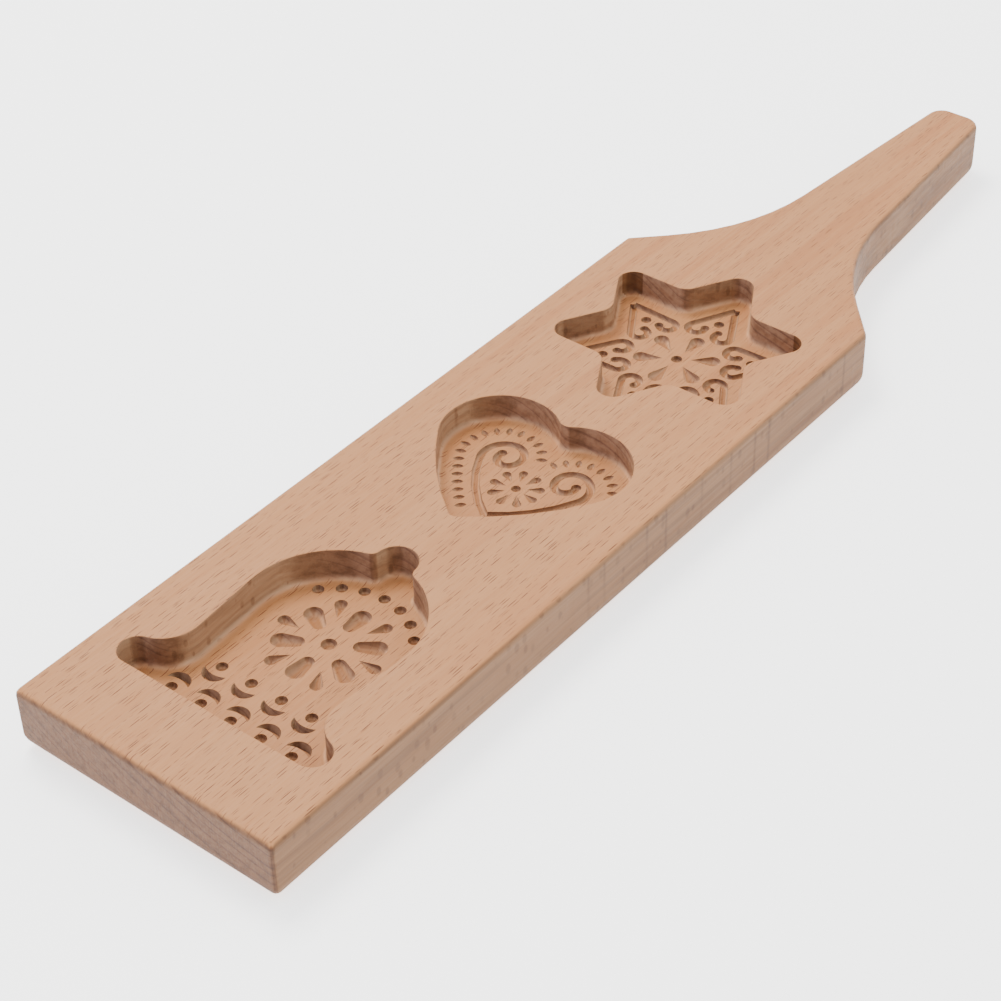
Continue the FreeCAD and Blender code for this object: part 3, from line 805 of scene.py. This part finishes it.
# How much one ray differs from the next
scatter = {
    "sizes": (0.45, 1.3),
    "solid": 0.55,
    "faintest": 0.3,
    "strongFrom": 0.8,
}


def rayGroup():
    # Wood rays: thin upright plates along the grain, seen as dashes from above and as flecks
    # from the side. Pitch is the space that each has, and Long, Thick and Deep its half sizes.
    s = scatter
    tree, given, masks = newGroup("rays", ("Vector", "Pitch"), ("Long", "Thick", "Deep"),
                                  ("Mask",))
    place = calculateVector(tree, "DIVIDE", inMillimetres(tree, given["Vector"]), given["Pitch"])
    cells = addNode(tree, "TexVoronoi", feature="F1")
    feed(tree, cells.inputs["Vector"], place)
    feed(tree, cells.inputs["Scale"], 1.0)
    away = calculateVector(tree, "SUBTRACT", place, cells.outputs["Position"])
    away = calculateVector(tree, "MULTIPLY", away, given["Pitch"])
    halves = combined(tree, given["Long"], given["Thick"], given["Deep"])
    reach = calculateVector(tree, "LENGTH", calculateVector(tree, "DIVIDE", away, halves))
    # Each cell's random colour gives its ray a size and a strength
    chance = addNode(tree, "SeparateColor")
    feed(tree, chance.inputs[0], cells.outputs["Color"])
    size = ramp(tree, chance.outputs[0], 0.0, 1.0, *s["sizes"])
    spot = ramp(tree, calculate(tree, "DIVIDE", reach, size), s["solid"], 1.0, 1.0, 0.0)
    strength = ramp(tree, chance.outputs[1], 0.0, s["strongFrom"], s["faintest"], 1.0)
    feed(tree, masks["Mask"], product(tree, spot, strength))
    return tree


threadDensity = (55.0, 1500.0, 1500.0)  # noise steps to a metre along X, Y and Z


def fibreGroup():
    # Fine threads along the grain
    tree, given, masks = newGroup("fibres", ("Vector",), ("Fineness",), ("Thread",))
    density = combined(tree, *(product(tree, number, given["Fineness"])
                               for number in threadDensity))
    place = calculateVector(tree, "MULTIPLY", given["Vector"], density)
    feed(tree, masks["Thread"], noise(tree, place, detail=3, roughness=0.62))
    return tree


# Marks of the tools, in millimetres along the board
work = {
    "bladeAt": (-71.0, -64.0, -44.8, -36.0, -19.0, -4.9, 7.0, 14.1, 53.5),
    "bladeWide": 1.0,
    "bladeShare": 0.55,
    "bladeSide": (-0.98, -0.9),
    "patches": (0.045, 0.045, 0.07),
    "patchRange": (0.35, 0.6),
    "patchLeast": 0.4,
    "cornerRange": (-0.30, -0.55),
    "cornerShare": 0.8,
}


def workGroup():
    # Faint upright lines that a blade left across the right side, broken up in patches, and a
    # dark line down the front right corner
    s = work
    tree, given, masks = newGroup("workMarks", ("Vector", "Normal"), (), ("Blade", "Corner"))
    place = inMillimetres(tree, given["Vector"])
    facing = separated(tree, given["Normal"])
    along = separated(tree, place)["X"]
    lines = 0.0
    for spot in s["bladeAt"]:
        away = calculate(tree, "ABSOLUTE", calculate(tree, "SUBTRACT", along, spot))
        line = ramp(tree, away, 0.0, s["bladeWide"], s["bladeShare"], 0.0)
        lines = calculate(tree, "ADD", lines, line)
    lines = product(tree, lines, ramp(tree, facing["Y"], *s["bladeSide"], 1.0, 0.0), clamp=True)
    patch = noise(tree, calculateVector(tree, "MULTIPLY", place, s["patches"]))
    patch = ramp(tree, patch, *s["patchRange"], s["patchLeast"], 1.0)
    feed(tree, masks["Blade"], product(tree, patch, lines))
    corner = product(tree, ramp(tree, facing["X"], *s["cornerRange"]),
                     ramp(tree, facing["Y"], *s["cornerRange"]))
    feed(tree, masks["Corner"], product(tree, corner, s["cornerShare"]))
    return tree


rings, rays, fibres, workMarks = ringGroup(), rayGroup(), fibreGroup(), workGroup()


# Colours and sizes in millimetres. A range is where an effect starts and where it is full, and
# a share is how much of it shows.
wood = {
    "light": (0.445, 0.200, 0.080),
    "warm": (0.40, 0.160, 0.058),
    "lateWood": (0.20, 0.072, 0.030),
    "ray": (0.12, 0.036, 0.014),
    "mark": (0.42, 0.35, 0.30),
    # End and side colours darken and grey the upright faces: partly the grain's own colour, partly
    # painted shade and cool light
    "endGrainAndShade": (0.33, 0.33, 0.38),
    "sideGrainAndShade": (0.43, 0.46, 0.46),
    "turnedRange": (0.45, 0.95),
    "lengthRange": (-100.0, 80.0),
    "bandRange": (0.44, 0.64),
    "bandAtFront": 0.45,
    "fineRange": (0.3, 0.7),
    "fineShare": 0.35,
    "lineShare": 0.10,
    "lineAtEnd": 0.90,
    "rayAtHandle": 0.7,
    "fleckShare": 0.5,
    "wornFineness": 0.3,
    "wornRange": (0.34, 0.60),
    "wornShare": 0.45,
    "roughRange": (0.2, 0.8),
    "rough": (0.52, 0.68),
    "specular": 0.3,
    "threadHeight": 0.5,
    "bumpStrength": 0.25,
    "bumpDistance": 0.2,
}
ring = {
    "PithY": -62.0,
    "PithZ": 170.0,
    "Step": 3.2,
    "Wave": 1.2,
}
dash = {
    "Pitch": (4.8, 0.8, 9.0),
    "Long": 2.3,
    "Thick": 0.12,
    "Deep": 4.6,
}
fleck = {
    "Pitch": (3.6, 1.6, 5.0),
    "Long": 1.0,
    "Thick": 0.5,
    "Deep": 1.8,
}


def woodColor(tree, place, normal, thread, rayMask, floorToneAndShade, paintedWallLight):
    s = wood
    end, side, flat = (ramp(tree, calculate(tree, "ABSOLUTE", part), *s["turnedRange"])
                       for part in separated(tree, normal))
    grown = useGroup(tree, rings, Vector=place, **ring)
    fleckMask = useGroup(tree, rays, Vector=place, **fleck)["Mask"]
    streak = useGroup(tree, fibres, Vector=place, Fineness=s["wornFineness"])["Thread"]
    made = useGroup(tree, workMarks, Vector=place, Normal=normal)
    towardsHandle = ramp(tree, separated(tree, place)["X"],
                         *(limit * mm for limit in s["lengthRange"]))

    band = product(tree, ramp(tree, grown["Band"], *s["bandRange"]),
                   ramp(tree, towardsHandle, 0, 1, s["bandAtFront"], 1.0))
    fine = ramp(tree, thread, *s["fineRange"], 0.0, s["fineShare"])
    lineShare = calculate(tree, "ADD", product(tree, end, s["lineAtEnd"]), s["lineShare"])
    rayShare = product(tree, flat, ramp(tree, towardsHandle, 0, 1, 1.0, s["rayAtHandle"]))
    fleckShare = product(tree, side, s["fleckShare"])
    upright = calculate(tree, "ADD", end, side, clamp=True)
    color = s["light"]
    # Each layer goes over the ones before it
    for kind, share, tint in (
            ("MIX", band, s["warm"]),
            ("MIX", fine, s["warm"]),
            ("MIX", product(tree, grown["Line"], lineShare), s["lateWood"]),
            ("MIX", product(tree, rayMask, rayShare), s["ray"]),
            ("MULTIPLY", product(tree, fleckMask, fleckShare), s["mark"]),
            # Upright faces darker and greyer: partly their own grain colour, partly painted shade
            # and painted cool light
            ("MULTIPLY", end, s["endGrainAndShade"]),
            ("MULTIPLY", side, s["sideGrainAndShade"]),
            # Painted light on the walls and slopes of the hollows, and on their floors their own
            # tone with painted shade
            ("MULTIPLY", 1.0, blend(tree, "MIX", flat, paintedWallLight, floorToneAndShade)),
            ("MULTIPLY", product(tree, ramp(tree, streak, *s["wornRange"], s["wornShare"], 0.0),
                                 upright), s["mark"]),
            ("MULTIPLY", made["Corner"], s["mark"]),
            ("MULTIPLY", made["Blade"], s["mark"])):
        color = blend(tree, kind, share, color, tint)
    return color


def woodMaterial(name, floorToneAndShade, paintedWallLight):
    s = wood
    material = bpy.data.materials.new(name)
    material.use_nodes = True
    tree = material.node_tree
    surface = tree.nodes["Principled BSDF"].inputs
    place = addNode(tree, "TexCoord").outputs["Object"]
    normal = addNode(tree, "NewGeometry").outputs["Normal"]
    thread = useGroup(tree, fibres, Vector=place, Fineness=1.0)["Thread"]
    rayMask = useGroup(tree, rays, Vector=place, **dash)["Mask"]
    color = woodColor(tree, place, normal, thread, rayMask, floorToneAndShade, paintedWallLight)
    bump = addNode(tree, "Bump")
    height = calculate(tree, "SUBTRACT", product(tree, thread, s["threadHeight"]), rayMask)
    for socket, value in (
            (bump.inputs["Strength"], s["bumpStrength"]),
            (bump.inputs["Distance"], s["bumpDistance"] * mm),
            (bump.inputs["Height"], height),
            (surface["Base Color"], color),
            (surface["Roughness"], ramp(tree, thread, *s["roughRange"], *s["rough"])),
            (surface["Specular IOR Level"], s["specular"]),
            (surface["Normal"], bump.outputs[0])):
        feed(tree, socket, value)
    return material


# Tints of the hollows, which paint light on their walls and shade on their floors and pits, and
# where they lie: clear of the outline, which comes nearer past the middle of the star, and of the
# underside
carved = {
    # the hollow floors' own warmer tone, partly painted shade that darkens them
    "floorToneAndShade": (0.97, 0.93, 0.86),
    # painted light: lifts and cools the shaded walls and slopes of the hollows
    "paintedWallLight": (1.95, 2.45, 3.45),
    # painted shade: darkens the carved pits below the floors
    "paintedPitShade": (0.74, 0.68, 0.60),
    "frontX": -178.0,
    "halfWidth": 41.0,
    "narrowFrom": 40.0,
    "narrowBy": 1.2,
    "lowest": 5.0,
    "pitBelow": 0.15,
}


def isCut(face):
    # A face of a hollow: below the top, clear of the outline and of the underside
    x, y, z = (value / mm for value in face.calc_center_median())
    reach = carved["halfWidth"] - carved["narrowBy"] * max(0.0, x - carved["narrowFrom"])
    return (x > carved["frontX"] and abs(y) < reach
            and carved["lowest"] < z < board["thickness"] - tiny)


def isPit(face):
    # A face of the carving, below the floor of its hollow, where shade is painted
    x, y, z = (value / mm for value in face.calc_center_median())
    hollow = bell if x < board["frontX"] + heart["start"] else heart
    return isCut(face) and z < board["thickness"] - hollow["depth"] - carved["pitBelow"]


white = (1.0, 1.0, 1.0)  # as a tint it changes nothing
blank.data.materials.clear()  # the cuts left an empty slot
# The plain wood, a copy for the hollows with painted light on walls and painted shade on floors, and
# a copy for the pits with painted shade
for name, floorToneAndShade, paintedWallLight in (("beech", white, white),
                                  ("beechHollowPaintedLightAndShade", carved["floorToneAndShade"], carved["paintedWallLight"]),
                                  ("beechPitPaintedShade", carved["paintedPitShade"], carved["paintedWallLight"])):
    blank.data.materials.append(woodMaterial(name, floorToneAndShade, paintedWallLight))
activate(blank)
bpy.ops.object.mode_set(mode="EDIT")
# The hollows take the copy with painted light and shade, the pits below their floors the copy with
# painted shade
for slot, chosen in ((1, isCut), (2, isPit)):
    select(blank, "FACE", chosen)
    blank.active_material_index = slot
    bpy.ops.object.material_slot_assign()
bpy.ops.object.mode_set(mode="OBJECT")
report("wood finish made")

# The photograph's viewing angle, fitted to the straight edges, in metres and degrees
view = {
    "place": (-0.455493, -0.334333, 0.435667),
    "turn": (50.9535, 1.30545, -51.3311),
    "lens": 87.3657,
    "sensor": 36,
    "nearest": 0.01,
}
# A plain pale floor and soft light, in metres
studio = {
    "floorWide": 6,
    "floorColor": (0.95, 0.95, 0.95),
    "floorGlow": 1.7,
    "airColor": (0.95, 0.98, 1.0),
    "airLight": 1.75,
    "lampPlace": (0.15, 0.6, 1.3),
    "lampLight": 21,
    "lampColor": (1.0, 0.96, 0.90),
    "lampWide": 0.6,
}


def setUp(name, data, place):
    # A camera or lamp in its place
    made = bpy.data.objects.new(name, data)
    bpy.context.collection.objects.link(made)
    made.location = place
    return made


camera = setUp("camera", bpy.data.cameras.new("camera"), view["place"])
camera.rotation_euler = [math.radians(angle) for angle in view["turn"]]
camera.data.lens = view["lens"]
camera.data.sensor_width = view["sensor"]
camera.data.clip_start = view["nearest"]
bpy.context.scene.camera = camera

bpy.ops.mesh.primitive_plane_add(size=studio["floorWide"], location=(0, 0, 0))
ground = bpy.context.object
ground.name = "floor"
pale = bpy.data.materials.new("paleFloor")
pale.use_nodes = True
paleSurface = pale.node_tree.nodes["Principled BSDF"].inputs
for socket, value in (("Base Color", studio["floorColor"]), ("Emission Color", white),
                      ("Emission Strength", studio["floorGlow"])):
    feed(pale.node_tree, paleSurface[socket], value)
ground.data.materials.append(pale)

world = bpy.data.worlds.new("studio")
world.use_nodes = True
air = world.node_tree.nodes["Background"].inputs
feed(world.node_tree, air["Color"], studio["airColor"])
feed(world.node_tree, air["Strength"], studio["airLight"])
bpy.context.scene.world = world
lamp = setUp("key", bpy.data.lights.new("key", "AREA"), studio["lampPlace"])
lamp.rotation_euler = Vector(studio["lampPlace"]).to_track_quat("Z", "Y").to_euler()
lamp.data.energy = studio["lampLight"]
lamp.data.color = studio["lampColor"]
lamp.data.size = studio["lampWide"]
report("camera, floor and light in place")
